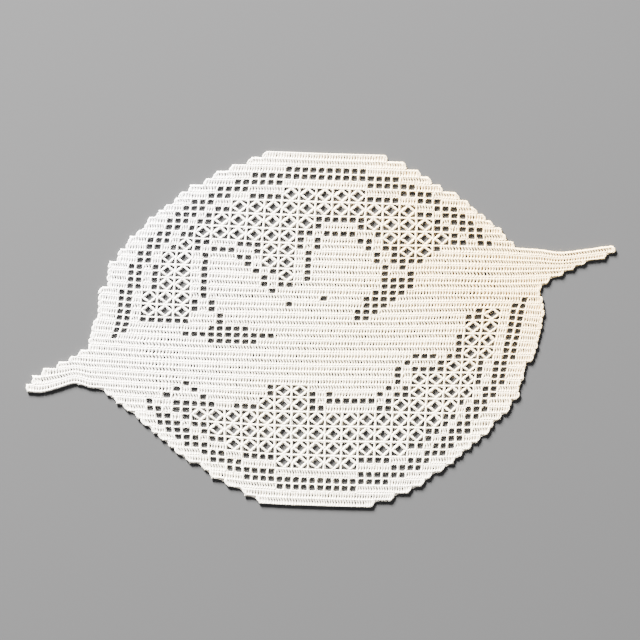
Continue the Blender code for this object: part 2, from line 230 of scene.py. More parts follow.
# One loop of a chain, from end to end: how far along, how far raised, share of its width, half thickness
LOOP = ((-1.65, 0.0, 0.40, 0.24), (-0.6, 0.12, 1.0, 0.50), (0.6, 0.12, 1.0, 0.50), (1.65, 0.0, 0.40, 0.24))
LINK_SLANT = math.radians(14)  # of one link of a narrow chain, and half as much of a fine one
NARROW_WIDE, FINE_WIDE = 0.74, 0.54  # half widths of their links
BRAID_SLANT = math.radians(27)  # of the two loops of a broad chain
BRAID_ASIDE, BRAID_WIDE = 0.74, 0.76  # how far each lies from the middle, and its half width

# Bars of a lozenge: start and end, in cells and rows from its middle, and half turns of their threads
LEGS = (
    ((-0.88, 0.10), (-0.05, -0.80), 2),
    ((0.88, 0.10), (0.08, -0.80), -2),
    ((-0.90, -0.04), (-0.08, 0.62), -2),
    ((0.84, -0.10), (0.08, 0.82), 2),
)
LEG_OVER = 0.6  # by which a bar is longer than the way between its ends
LEG_THREADS = (0.40, 0.62, 0.44)  # half distance, half width and half thickness of its threads
LEG_RISE, LEG_STEPS = 0.18, 5
# Thick stitches where the bars meet: place, in cells and rows, half length and half width
KNOTS = (
    (-0.14, -0.84, 1.3, 0.62),
    (0.12, -0.86, 1.2, 0.62),
    (0.05, 0.74, 1.1, 0.85),
    (-0.84, 0.0, 1.0, 0.95),
    (0.84, 0.0, 1.0, 0.95),
    (0.80, -0.86, 1.0, 0.50),
)
KNOT_FORM = ((-1.0, 0.45), (-0.5, 0.95), (0.5, 0.95), (1.0, 0.45))  # shares of half its length, and how full
KNOT_RISE, KNOT_THICK = 0.08, 0.45

# Hand work is uneven: how far a stitch lies off its place in millimetres, how much fuller or thinner it is
# and how far it leans, each as its usual amount. No stitch strays by more than MOST_UNEVEN times that.
UNEVENNESS = {
    "upright": (0.08, 0.06, 0.05),
    "pillar": (0.16, 0.06, 0.08),
    "slim": (0.12, 0.06, 0.05),
    "last": (0.2, 0.06, 0.08),
    "turn": (0.3, 0.06, 0.10),
    "narrow": (0.05, 0.06, 0.05),
    "fine": (0.10, 0.06, 0.05),
    "broad": (0.05, 0.06, 0.0),
    "lozenge": (0.18, 0.04, 0.03),
}
MOST_UNEVEN = 2
# Bands of rows whose stitches are one piece
PARTS = {"top": range(1, 16), "upper": range(16, 27), "lower": range(27, 38), "bottom": range(38, ROWS + 1)}

# ---------------------------------------------------------------- the cloth under the stitches
BACK_LOW, BACK_HIGH = 0.10, 0.45  # of the thin cloth between and behind the threads
BACK_INSET = 0.10  # of the thin cloth's edge, in cells
HOLE_WIDE, HOLE_HIGH, HOLE_CORNER = 0.36, 0.40, 0.13  # half sizes and corner, in cells and rows
# The five gaps of a lozenge, in cells and rows from its middle: the large one, then those in its corners
LOZENGE_GAPS = (
    ((-0.58, 0.02), (-0.08, 0.52), (0.10, 0.54), (0.56, 0.02), (0.08, -0.52), (-0.04, -0.54)),
    ((-0.87, -0.24), (-0.87, -0.90), (-0.24, -0.90)),
    ((0.24, -0.90), (0.66, -0.92), (0.88, -0.66), (0.88, -0.20), (0.62, -0.38), (0.36, -0.66)),
    ((-0.88, 0.20), (-0.60, 0.36), (-0.20, 0.74), (-0.20, 0.91), (-0.86, 0.91)),
    ((0.66, 0.20), (0.88, 0.14), (0.88, 0.91), (0.20, 0.91), (0.32, 0.66)),
)
SLIT_WIDE, SLIT_HIGH = 0.120, 0.290  # half sizes of the slit between two uprights, in cells and rows
SLIT_FROM_END = 1  # cells at a row's end that have no slits
# A slit's size is a share of that: less in the rows at the top, more towards the middle of the cloth, and
# uneven in slow waves (share, and turn in radians for each cell and row) and by chance
SLIT_SHARE = 0.92
FAINT_SHARE, FAINT_ROWS = 0.36, 9
INWARD_SHARE = 0.18
WAVE_SHARE, WAVE_ALONG, WAVE_DOWN = 0.12, 0.35, 1.1
CHANCE_SHARE = 0.14
LEAST_SLIT, MOST_SLIT = 0.45, 1.25  # a slit below the first share is closed
TRIANGLES_INSIDE, SAME_PLACE = 1, 1e-5  # what the triangulation gives, and how near two points are one

# ---------------------------------------------------------------- thread and stage
# The cool white is painted light: the colour of the brightly lit upper left of the cloth
PAINTED_LIGHT_WHITE = (0.94, 0.94, 0.975)
PALE_CREAM = (0.93, 0.89, 0.80)
CREAM = (0.90, 0.815, 0.625)
WARM_CREAM = (0.85, 0.665, 0.37)
# From the cloth's paler side to its warmer one: share of the way, then colour
SHADES = ((0.38, PALE_CREAM), (0.60, CREAM), (1.0, WARM_CREAM))
SHADES_TURN, SHADES_WIDTH = math.radians(-25), 0.47  # turn of that way, and its length in metres
BLOTCHES = 0.35  # how far blotches stray from it
# Whiter patches of the cloth: the upper left one is painted light, a pool of brighter light on the cream,
# and the lower one is just paler cream. Colour, then middle across and up, and radius, in metres
PAINTED_LIGHT_AND_PALE_PATCHES = ((PAINTED_LIGHT_WHITE, -0.14, 0.11, 0.21), (PALE_CREAM, 0.06, -0.13, 0.17))
# Direction of the ply's ridges in degrees, and the scale of their waves, in each kind of stitch
PLY = {"upright": (45, 520.0), "chain": (-50, 520.0), "lozenge": (90, 480.0)}
FIBRES = 0.5  # height of the loose fibres against the ridges
RELIEF, RELIEF_DEPTH = 0.5, 0.00012  # strength of both, and their depth in metres

PHOTO_WIDTH = 0.512  # what the picture takes in
PHOTO_MIDDLE = 0.0072  # of the picture above the middle of the cloth
CAMERA_HEIGHT = 1.5
TABLE_WIDTH, TABLE_LEVEL = 6.0, -0.0003  # a hair below the cloth
TABLE_GREY = (0.031, 0.0322, 0.035)  # which looks pale in the strong light
ROOM_COLOUR, ROOM_STRENGTH = (0.93, 0.95, 1.0), 0.24
# Lights: power in watts, width, place and colour
LIGHTS = {
    "key": (3880.0, 1.1, (-1.65, 3.18, 1.26), (1.0, 0.97, 0.92)),
    "fill": (20.0, 1.4, (1.2, -0.7, 1.5), (1.0, 0.95, 0.88)),
}


# ---------------------------------------------------------------- from the chart to the cloth
def between(table, at):
    """The value of a (place, value) table at a place, straight between its lines."""
    for (a, first), (b, second) in zip(table, table[1:]):
        if at <= b:
            return first + (second - first) * max(0.0, at - a) / (b - a)
    return table[-1][1]


def last_line(table, at):
    """The last line of a table that starts at or before a row."""
    return [line for line in table if line[0] <= at][-1]


def drop(x, v):
    """How far rows v hang below a straight line at x, smooth both ways."""
    table = np.array(BOW)
    rows, across = np.array(BOW_ROWS, float), table[:, 0]
    v = np.clip(v, rows[0], rows[-1])
    j = np.clip(np.searchsorted(rows, v, "right") - 1, 0, len(rows) - 2)
    s = (v - rows[j]) / (rows[j + 1] - rows[j])
    s = s * s * (3 - 2 * s)
    x = np.clip(x, across[0], across[-1])
    k = np.clip(np.searchsorted(across, x, "right") - 1, 0, len(across) - 2)
    t = (x - across[k]) / (across[k + 1] - across[k])
    ends = [np.clip(k + i, 0, len(across) - 1) for i in (-1, 0, 1, 2)]
    a, b, c, d = ((1 - s) * table[e, j + 1] + s * table[e, j + 2] for e in ends)
    return b + t * (c - a + t * (2 * a - 5 * b + 4 * c - d + t * (3 * (b - c) + d - a))) / 2


def pull(u, v):
    """How far places lie to the right of their columns."""
    half = OVAL_WIDE * np.sqrt(np.maximum(0.01, 1 - ((v - OVAL_ROW) / OVAL_HIGH) ** 2))
    s = np.clip((abs(u) / half - PULL_FROM) / (PULL_FULL - PULL_FROM), 0, 1)
    rows, on_left, on_right = np.array(PULL).T
    return s * s * (3 - 2 * s) * np.where(u < 0, np.interp(v, rows, on_left), np.interp(v, rows, on_right))


def place(u, v):
    """Where places on the chart lie, in millimetres across and up."""
    u, v = np.asarray(u, float), np.asarray(v, float)
    t = np.where(v < WIDEST_ROW, (WIDEST_ROW - v) / WIDEST_ROW, (v - WIDEST_ROW) / (ROWS - 2 - WIDEST_ROW))
    draw_in = 1 - EDGE_DRAW_IN * np.minimum(1.0, abs(u) / EDGE_CELLS) ** 6
    x = MIDDLE + LEAN * np.maximum(0.0, UPRIGHT_ROW - v) ** 2 + (CELL - CELL_LOSS * t * t) * u * draw_in
    x = x + pull(u, v)
    rows, levels = np.array(ROW_LEVELS).T
    return x, TOP_LEVEL - np.interp(v, rows, levels) - drop(x, v)


def border_row(row, side):
    """The line of BORDER that holds for a row on the left (-1) or right (1)."""
    turn = TURN_LEFT if side < 0 else TURN_RIGHT
    return last_line(BORDER, row if row < turn else ROWS + 1 - row)


def reach(row, side):
    """How far a row reaches from the middle column, in cells."""
    tail = TAIL_LEFT if side < 0 else TAIL_RIGHT
    straight = SIDE_LEFT if side < 0 else SIDE_RIGHT
    if row in tail:
        return tail[row]
    if straight[0][0] <= row <= straight[-1][0]:
        return last_line(straight, row)[1]
    upper = row < straight[0][0]
    quarter = ("upper_" if upper else "lower_") + ("left" if side < 0 else "right")
    count = row if upper else ROWS + 1 - row
    return last_line(BORDER, count)[1] + between(UNEVEN[quarter], count)


def within(u, row, inset=0):
    """Whether a place in a row lies more than an inset of cells inside its end."""
    return abs(u) < reach(row, -1 if u < 0 else 1) - inset


def in_petal(petal, u, v):
    """Whether a place lies in a leaning ellipse."""
    across, down, wide, high, lean = petal
    return ((u - across - lean * (v - down)) / wide) ** 2 + ((v - down) / high) ** 2 <= 1


def in_leaf(leaf, u, v):
    """Whether a place lies in a leaf, which is pointed at both ends."""
    tip_u, tip_v, root_u, root_v, half = leaf
    t = (u - tip_u) / (root_u - tip_u)
    if not 0 < t < 1:
        return False
    return abs(v - tip_v - (root_v - tip_v) * t) <= half * math.sin(math.pi * t) ** LEAF_FULLNESS


def cells_where(test, shape):
    """The cells whose middles lie in a shape."""
    rows = range(1, ROWS + 1)
    return {(k, r) for r in rows for k in range(-SIDE_CELLS, SIDE_CELLS) if test(shape, k + 0.5, r - 0.5)}


def inner_line(cells):
    """The cells that lie one in from the edge of a patch."""
    beside = ((1, 0), (-1, 0), (0, 1), (0, -1))
    edge = {(k, r) for k, r in cells if any((k + a, r + b) not in cells for a, b in beside)}
    return {(k, r) for k, r in cells - edge if any((k + a, r + b) in edge for a, b in beside)}


def chevron(k, row, rows, slope):
    """Two lines of cells that part downwards from one cell."""
    return {(k + side * math.ceil(i * slope), row + i) for i in range(rows) for side in (-1, 1)}


def motif():
    """The cells of the flower and leaves, and the open ones that draw its lines."""
    petals = {name: cells_where(in_petal, petal) for name, petal in PETALS.items()}
    leaves = {name: cells_where(in_leaf, leaf) for name, leaf in LEAVES.items()}
    close = set().union(*petals.values(), *leaves.values())
    lines = STAMENS.union(*(chevron(*shape) for shape in CHEVRONS))
    for names, top, bottom, left, right in INNER_LINES:
        line = inner_line(set().union(*(petals[name] for name in names)))
        lines |= {(k, r) for k, r in line if top <= r <= bottom and left <= k <= right}
    return close, lines.union(*(cells_where(in_leaf, vein) for vein in VEINS))


def chart():
    """Each cell of the cloth: close, open, or part of a lozenge; and the middles of the lozenges."""
    close, lines = motif()
    cells = {}
    for row in range(1, ROWS + 1):
        for k in range(-SIDE_CELLS - TAIL_CELLS, SIDE_CELLS + TAIL_CELLS):
            side = -1 if k < 0 else 1
            away = abs(k + 0.5)
            if away > reach(row, side) + 0.5:
                continue
            first, last = BAND_LEFT if side < 0 else BAND_RIGHT
            _, _, ring_outer, ring_inner, net_outer = border_row(row, side)
            kind = "close"
            in_ring = ring_inner <= away < ring_outer and not first <= row <= last
            if in_ring and (k, row) not in FILLED:
                kind = "open"
            elif away < net_outer and (k, row) not in close:
                kind = "net"
            elif away < net_outer and (k, row) in lines:
                kind = "open"
            cells[k, row] = kind
    found = []
    for row in LOZENGE_ROWS:
        for middle in LOZENGE_CELLS:
            block = [(middle + i, row + j) for i in (-1, 0) for j in (0, 1)]
            if all(cells.get(cell) == "net" for cell in block):
                cells.update(dict.fromkeys(block, "lozenge"))
                found.append((middle, row))
    cells.update({cell: "open" for cell, kind in cells.items() if kind == "net"})
    return cells, found


def ledge(start, end, v):
    """Places along the level edge that a row leaves free, from start towards end."""
    count = int(abs(end - start) / LEDGE_STEP)
    return [(start + (end - start) * i / (count + 1), v) for i in range(1, count + 1)]


def row_end(row, side):
    """The edge along the end of a row, from its top to its bottom, with rounded outer corners."""
    here = reach(row, side)
    above = reach(row - 1, side) if row > 1 else 0
    below = reach(row + 1, side) if row < ROWS else 0
    points = []
    if here - above > 2 * CORNER:
        points += ledge(above, here - CORNER, row - 1) if row > 1 else []
        points.append((here - CORNER, row - 1))
    points.append((here, row - 1 + CORNER))
    points.append((here, row - CORNER))
    if below - here > 2 * CORNER:
        points.append((here, row))
    elif here - below > 2 * CORNER:
        points.append((here - CORNER, row))
        points += ledge(here - CORNER, below, row) if row < ROWS else []
    return [(side * u, v) for u, v in points]


def outline():
    """The edge of the cloth on the chart, all the way round."""
    right = [point for row in range(1, ROWS + 1) for point in row_end(row, 1)]
    left = [point for row in range(1, ROWS + 1) for point in row_end(row, -1)]
    top = [(u, 0) for u in TOP_POINTS]
    bottom = [(u, ROWS) for u in reversed(TOP_POINTS)]
    return top + right + bottom + left[::-1]


EDGE = outline()
EDGE_X, EDGE_Y = place(*np.array(EDGE).T)
MIDDLE_X = (EDGE_X.min() + EDGE_X.max()) / 2
MIDDLE_Y = (EDGE_Y.min() + EDGE_Y.max()) / 2


def on_cloth(u, v):
    """Places on the chart in metres, about the middle of the cloth."""
    x, y = place(u, v)
    return (x - MIDDLE_X) * MM, (y - MIDDLE_Y) * MM


# ---------------------------------------------------------------- modelling the stitches
def deselect():
    """Leaves edit mode and selects nothing."""
    if bpy.context.object and bpy.context.object.mode != "OBJECT":
        bpy.ops.object.mode_set(mode="OBJECT")
    bpy.ops.object.select_all(action="DESELECT")


def settled(piece):
    """Puts a piece's turn and place into its mesh."""
    deselect()
    piece.select_set(True)
    bpy.context.view_layer.objects.active = piece
    bpy.ops.object.transform_apply(location=True, rotation=True, scale=True)
    return piece


def joined(name, pieces):
    """Joins pieces into the first of them, under a new name."""
    deselect()
    for piece in pieces:
        piece.select_set(True)
    bpy.context.view_layer.objects.active = pieces[0]
    bpy.ops.object.join()
    pieces[0].name = name
    return pieces[0]


def thread(sections, sides):
    """A closed length of thread that runs up Y. Each section is how far along, across and up its middle
    lies, its half width and its half thickness, in millimetres."""
    deselect()
    along, across, up, wide, thick = (value * MM for value in sections[0])
    bpy.ops.mesh.primitive_circle_add(
        vertices=sides, radius=1, fill_type="NGON", rotation=(math.pi / 2, 0, 0), enter_editmode=True
    )
    bpy.ops.mesh.select_all(action="SELECT")
    bpy.ops.transform.resize(value=(wide, 1, thick), center_override=(0, 0, 0))
    bpy.ops.transform.translate(value=(across, along, up))
    for section in sections[1:]:
        last = (along, across, up, wide, thick)
        along, across, up, wide, thick = (value * MM for value in section)
        step = (across - last[1], along - last[0], up - last[2])
        bpy.ops.mesh.extrude_region_move(TRANSFORM_OT_translate={"value": step})
        bpy.ops.transform.resize(
            value=(wide / last[3], 1, thick / last[4]), center_override=(across, along, up)
        )
    bpy.ops.mesh.select_all(action="SELECT")
    bpy.ops.mesh.normals_make_consistent(inside=False)
    bpy.ops.object.mode_set(mode="OBJECT")
    return settled(bpy.context.object)


def plied(length, spread, wide, thick, half_turns, rise, flare=0.0, waist=0.0, lean=0.0, steps=4):
    """Two threads that run up Y side by side and turn over each other, one above the other by a rise. They
    may spread at both ends (flare), be thinner halfway (waist) and lean to the right at the top."""
    both = []
    for phase in (0.0, math.pi):
        sections = []
        for i in range(steps + 1):
            t = i / steps
            from_middle = abs(2 * t - 1)
            angle = phase + math.pi * half_turns * t
            apart = spread + flare * from_middle**3
            across = apart * math.cos(angle) + lean * (t - 0.5)
            full = (TIP_FULLNESS if i in (0, steps) else 1.0) * (1 + waist * (from_middle - 0.5))
            up = MID_HEIGHT + rise * math.sin(angle)
            sections.append((length * (t - 0.5), across, up, wide * full, thick * full))
        both.append(thread(sections, THREAD_SIDES))
    return both


def turning(side, way):
    """The chain that turns a row at its end: a thread that swells outwards on one side and leans as the last
    upright does."""
    sections = []
    for i in range(TURN_STEPS + 1):
        t = i / TURN_STEPS
        tip = i in (0, TURN_STEPS)
        out = 0.0 if tip else math.sin(math.pi * t) ** TURN_ROUND
        across = side * (out * TURN_SWELL - TURN_INSIDE) + way * END_LEAN * (t - 0.5)
        wide = TURN_TIP if tip else TURN_WIDE
        sections.append((TURN_LENGTH * (t - 0.5), across, MID_HEIGHT, wide, TURN_THICK))
    piece = thread(sections, THICK_SIDES)
    piece.name = "turning_chain"
    return piece


def chain_loop(slant, aside, half_width):
    """One slanting loop of a chain, aside of the chain's middle line."""
    sections = [(along, 0.0, MID_HEIGHT + up, share * half_width, thick) for along, up, share, thick in LOOP]
    link = thread(sections, THREAD_SIDES)
    link.rotation_euler.z = math.pi / 2 + slant
    link.location.y = aside * MM
    return settled(link)


def leg(start, end, half_turns):
    """One side of a lozenge, from start to end in cells and rows from its middle."""
    x, y = (end[0] - start[0]) * CELL, -(end[1] - start[1]) * ROW
    threads = plied(math.hypot(x, y) + LEG_OVER, *LEG_THREADS, half_turns, LEG_RISE, steps=LEG_STEPS)
    side = joined("leg", threads)
    side.rotation_euler.z = math.atan2(y, x) - math.pi / 2
    side.location = ((start[0] + end[0]) / 2 * CELL * MM, -(start[1] + end[1]) / 2 * ROW * MM, 0)
    return settled(side)


def knot(u, v, half_length, half_width):
    """A short thick stitch lying across, at a place in cells and rows from the middle of a lozenge."""
    sections = [
        (half_length * a, 0.0, MID_HEIGHT + KNOT_RISE, half_width * b, KNOT_THICK * b) for a, b in KNOT_FORM
    ]
    stitch = thread(sections, THICK_SIDES)
    stitch.rotation_euler.z = math.pi / 2
    stitch.location = (u * CELL * MM, -v * ROW * MM, 0)
    return settled(stitch)


def one_of_each():
    """One stitch of every kind. Rows show the right side of the work and the wrong side by turns, so trebles
    and the links of chains come in two kinds, and the stitches at a row's end in one for each of ENDS."""
    kinds = {name: joined(name, plied(*shape)) for name, shape in TREBLES.items()}
    for side, way in ENDS:
        kinds["last", side, way] = joined("end_upright", plied(*END_TREBLE, lean=way * END_LEAN))
        kinds["turn", side, way] = turning(side, way)
    # two loops side by side, like an arrowhead
    loops = [chain_loop(way * BRAID_SLANT, way * BRAID_ASIDE, BRAID_WIDE) for way in (1, -1)]
    kinds["broad"] = joined("braid", loops)
    for odd, way in enumerate((1, -1)):
        kinds["narrow", odd] = chain_loop(way * LINK_SLANT, 0.0, NARROW_WIDE)
        kinds["fine", odd] = chain_loop(way * LINK_SLANT / 2, 0.0, FINE_WIDE)
    # four bars that frame the large gap of the net, and the thick stitches where they meet
    kinds["lozenge"] = joined("lozenge", [leg(*shape) for shape in LEGS] + [knot(*shape) for shape in KNOTS])
    return kinds


# ---------------------------------------------------------------- laying the stitches out
def stitch_level(row):
    """The middle of a row's close stitches: rows lie in pairs, with a broad chain between the pairs."""
    return row - 0.5 + (LEVEL_SHIFT if row % 2 else -LEVEL_SHIFT)


def wander(u, v):
    """How far, in cells, hand work strays along a row, a little differently in each row."""
    row = np.floor(v)
    return WANDER * sum(share * np.sin(along * u + down * row) for share, along, down in WANDER_WAVES)


def lay(name, stitch, spots, random, uneven):
    """Joins one copy of a stitch for each (u, v) place, uneven as a line of UNEVENNESS says."""
    sway, swell, tilt = UNEVENNESS[uneven]
    mesh = stitch.data
    count = len(mesh.vertices)
    local = np.empty(count * 3)
    mesh.vertices.foreach_get("co", local)
    local = local.reshape(-1, 3) / MM
    corner_vertex = np.empty(len(mesh.loops), int)
    mesh.loops.foreach_get("vertex_index", corner_vertex)
    starts = np.empty(len(mesh.polygons), int)
    mesh.polygons.foreach_get("loop_start", starts)
    spots = np.array(spots, float)
    many = len(spots)
    chances = [random.standard_normal((many, columns)) for columns in (1, 2, 1)]
    fuller, aside, leaning = (chance.clip(-MOST_UNEVEN, MOST_UNEVEN) for chance in chances)
    fuller, aside, leaning = 1 + swell * fuller, sway * aside, tilt * leaning
    x = local[None, :, 0] * fuller + aside[:, :1] + leaning * local[None, :, 1]
    y = local[None, :, 1] + aside[:, 1:]
    z = MID_HEIGHT + (local[None, :, 2] - MID_HEIGHT) * fuller
    u = spots[:, :1] + wander(spots[:, :1], spots[:, 1:]) + x / CELL
    v = spots[:, 1:] - y / ROW
    across, up = on_cloth(u.ravel(), v.ravel())
    points = np.stack([across, up, z.ravel() * MM], axis=1)
    laid = bpy.data.meshes.new(name)
    laid.vertices.add(many * count)
    laid.vertices.foreach_set("co", points.ravel())
    laid.loops.add(many * len(corner_vertex))
    shift = np.arange(many)[:, None]
    laid.loops.foreach_set("vertex_index", (corner_vertex[None] + shift * count).ravel())
    laid.polygons.add(many * len(starts))
    laid.polygons.foreach_set("loop_start", (starts[None] + shift * len(corner_vertex)).ravel())
    laid.update(calc_edges=True)
    laid.validate()
    laid.shade_smooth()
    piece = bpy.data.objects.new(name, laid)
    bpy.context.scene.collection.objects.link(piece)
    return piece


def upright_spots(cells, middles, rows):
    """Where the upright stitches of some rows stand: those between close stitches, the pillars at the sides
    of open cells and the slim ones at the sides of lozenges."""
    inside = {(middle, row + i) for middle, row in middles for i in (0, 1)}
    close, pillars, slim = [], [], []
    for row in rows:
        v = stitch_level(row)
        left, right = -reach(row, -1) + ROW_END, reach(row, 1) - ROW_END
        for k in range(math.floor(left), math.ceil(right) + 1):
            if left <= k <= right and (k, row) not in inside:
                beside = {cells.get((k - 1, row)), cells.get((k, row))}
                if beside == {"close"}:
                    close.append((k, v))
                else:
                    (slim if "lozenge" in beside else pillars).append((k, row - 0.5))
            for i in range(1, PER_CELL):
                if cells.get((k, row)) == "close" and left <= k + i * PITCH <= right:
                    close.append((k + i * PITCH, v))
    return close, pillars, slim


def end_way(row, side):
    """Which way the end of a row leans at the top: towards a shorter row above or away from one below."""
    here = reach(row, side)
    shorter_above = row == 1 or here - reach(row - 1, side) > 2 * CORNER
    shorter_below = row == ROWS or here - reach(row + 1, side) > 2 * CORNER
    return side * (shorter_below - shorter_above)


def chain_spots(cells, middles, levels):
    """Where the links of the chains lie, along the top and bottom of rows, clear of the lozenges: the broad
    ones between a pair of close rows, the fine ones beside open cells and the narrow ones elsewhere."""
    skipped = {(middle + i, row) for middle, row in middles for i in (-1, 0)}
    broad, narrow, fine = [], [], []
    for level in levels:
        touching = [row for row in (level, level + 1) if 1 <= row <= ROWS]
        left = -max(reach(row, -1) for row in touching)
        right = max(reach(row, 1) for row in touching)
        count = int((right - left) * PER_CELL - LINKS_SPARED)
        for i in range(count + 1):
            u = left + CHAIN_END + (right - left - 2 * CHAIN_END) * i / count
            k = math.floor(u)
            if (k, level) in skipped:
                continue
            kinds = [cells.get((k, row)) for row in touching if within(u, row)]
            if kinds == ["close", "close"] and not level % 2:
                broad.append((u, level))
            elif len(kinds) == 1:
                below = touching[-1] > level and within(u, touching[-1])
                narrow.append((u, level + (EDGE_INWARD if below else -EDGE_INWARD)))
            elif "open" in kinds:
                fine.append((u, level))
            else:
                narrow.append((u, level))
    return broad, narrow, fine


def lay_uprights(kinds, cells, middles, rows, random):
    """The upright stitches of some rows: those of odd and of even rows, then the ends of all."""
    pieces = []
    for face, odd in (("front", 1), ("back", 0)):
        close, pillars, slim = upright_spots(cells, middles, [row for row in rows if row % 2 == odd])
        pieces.append(lay(face, kinds["upright_" + face], close, random, "upright"))
        pieces.append(lay(face, kinds["pillar_" + face], pillars, random, "pillar"))
        if slim:
            pieces.append(lay("slim", kinds["slim_pillar"], slim, random, "slim"))
    for side, way in ENDS:
        ends = [(side * reach(row, side), row - 0.5) for row in rows if end_way(row, side) == way]
        if ends:
            last = [(u - side * ROW_END, v) for u, v in ends]
            pieces.append(lay("last", kinds["last", side, way], last, random, "last"))
            pieces.append(lay("turn", kinds["turn", side, way], ends, random, "turn"))
    return pieces


def lay_chains(kinds, cells, middles, rows, random):
    """The chains along the tops of some rows, and below the last row of the cloth."""
    levels = [row - 1 for row in rows] + ([ROWS] if rows[-1] == ROWS else [])
    pieces = []
    for odd in (0, 1):
        broad, narrow, fine = chain_spots(cells, middles, [level for level in levels if level % 2 == odd])
        pieces.append(lay("narrow", kinds["narrow", odd], narrow, random, "narrow"))
        pieces.append(lay("fine", kinds["fine", odd], fine, random, "fine"))
        if broad:
            pieces.append(lay("broad", kinds["broad"], broad, random, "broad"))
    return pieces


# ---------------------------------------------------------------- the cloth under the stitches
def slit_size(u, row, random):
    """How large a slit is, as a share of its full size."""
    inward = max(0.0, 1 - (u / SIDE_CELLS) ** 2 - (2 * row / ROWS - 1) ** 2)
    faint = FAINT_SHARE * max(0.0, 1 - row / FAINT_ROWS)
    wave = WAVE_SHARE * math.sin(WAVE_ALONG * u + WAVE_DOWN * row)
    return SLIT_SHARE - faint + INWARD_SHARE * inward + wave + CHANCE_SHARE * random.standard_normal()


def slit_loop(u, row, size):
    """A slit between two uprights, which leans as they do."""
    lean = (FRONT_LEAN if row % 2 else BACK_LEAN) / CELL * SLIT_HIGH
    v, w, h = stitch_level(row), SLIT_WIDE * size, SLIT_HIGH * size
    return [(u - w, v), (u - lean, v + h), (u + w, v), (u + lean, v - h)]


def hole_loops(cells, middles, random):
    """The openings of the thin cloth: each open cell, the slits and the five gaps of a lozenge."""
    w, h, c = HOLE_WIDE, HOLE_HIGH, HOLE_CORNER
    corners = ((-w, c - h), (-w, h - c), (c - w, h), (w - c, h))
    corners += tuple((-a, -b) for a, b in corners)
    open_cells = [cell for cell, kind in cells.items() if kind == "open"]
    loops = [[(k + 0.5 + a, row - 0.5 + b) for a, b in corners] for k, row in open_cells]
    for (k, row), kind in cells.items():
        if kind == "close" and within(k + 0.5, row, SLIT_FROM_END):
            for i in range(PER_CELL):
                u = k + (i + 0.5) * PITCH
                size = slit_size(u, row, random)
                if size > LEAST_SLIT:
                    loops.append(slit_loop(u + wander(u, stitch_level(row)), row, min(size, MOST_SLIT)))
    for u, v in middles:
        loops += [[(u + a, v + b) for a, b in gap] for gap in LOZENGE_GAPS]
    return loops


def back_cloth(cells, middles, random):
    """The thin cloth that the threads' inner turns make behind the stitches, holes and all."""
    edge = [(u - math.copysign(BACK_INSET, u), v) for u, v in EDGE]
    loops = [edge] + hole_loops(cells, middles, random)
    points, sides, owner = [], [], {}
    for number, loop in enumerate(loops):
        first = len(points)
        points += loop
        ring = list(range(first, len(points)))
        sides += list(zip(ring, ring[1:] + ring[:1]))
        if number:
            owner.update(dict.fromkeys(ring, number))
    across, up = on_cloth(*np.array(points).T)
    flat = [Vector((x, y)) / MM for x, y in zip(across, up)]
    spots, _, faces, _, _, _ = delaunay_2d_cdt(flat, sides, [], TRIANGLES_INSIDE, SAME_PLACE)
    # a triangle with all its corners on one hole lies in it, and goes
    faces = [face for face in faces if len({owner.get(i, -1 - i) for i in face}) > 1]
    mesh = bpy.data.meshes.new("back_cloth")
    mesh.from_pydata([(x * MM, y * MM, BACK_HIGH * MM) for x, y in spots], [], faces)
    mesh.update()
    piece = bpy.data.objects.new("back_cloth", mesh)
    bpy.context.scene.collection.objects.link(piece)
    deselect()
    piece.select_set(True)
    bpy.context.view_layer.objects.active = piece
    bpy.ops.object.mode_set(mode="EDIT")
    bpy.ops.mesh.select_all(action="SELECT")
    bpy.ops.mesh.normals_make_consistent(inside=False)
    bpy.ops.object.mode_set(mode="OBJECT")
    if mesh.polygons[0].normal.z < 0:
        mesh.flip_normals()
    thick = piece.modifiers.new("thickness", "SOLIDIFY")
    thick.thickness = (BACK_HIGH - BACK_LOW) * MM
    thick.offset = -1
    bpy.ops.object.modifier_apply(modifier=thick.name)
    return piece


# ---------------------------------------------------------------- materials
def fill_in(tree, shader, **inputs):
    """Fills inputs of a shader node, with values or by links from the outputs of other nodes."""
    for name, value in inputs.items():
        socket = shader.inputs[name.replace("_", " ")]
        if isinstance(value, bpy.types.NodeSocket):
            tree.links.new(value, socket)
        else:
            socket.default_value = value


def node(tree, kind, **inputs):
    """A new shader node with its inputs filled."""
    made = tree.nodes.new("ShaderNode" + kind)
    fill_in(tree, made, **inputs)
    return made


def multiply_add(tree, value, factor, more):
    """value * factor + more, where value and more are outputs of other nodes."""
    made = node(tree, "Math")
    made.operation = "MULTIPLY_ADD"
    tree.links.new(value, made.inputs[0])
    made.inputs[1].default_value = factor
    tree.links.new(more, made.inputs[2])
    return made.outputs["Value"]


def mixed(tree, blend, share, first, second):
    """One colour mixed with a share of another."""
    made = node(tree, "Mix")
    made.data_type = "RGBA"
    made.blend_type = blend
    fill_in(tree, made, Factor=share, A=first, B=second)
    return made.outputs["Result"]


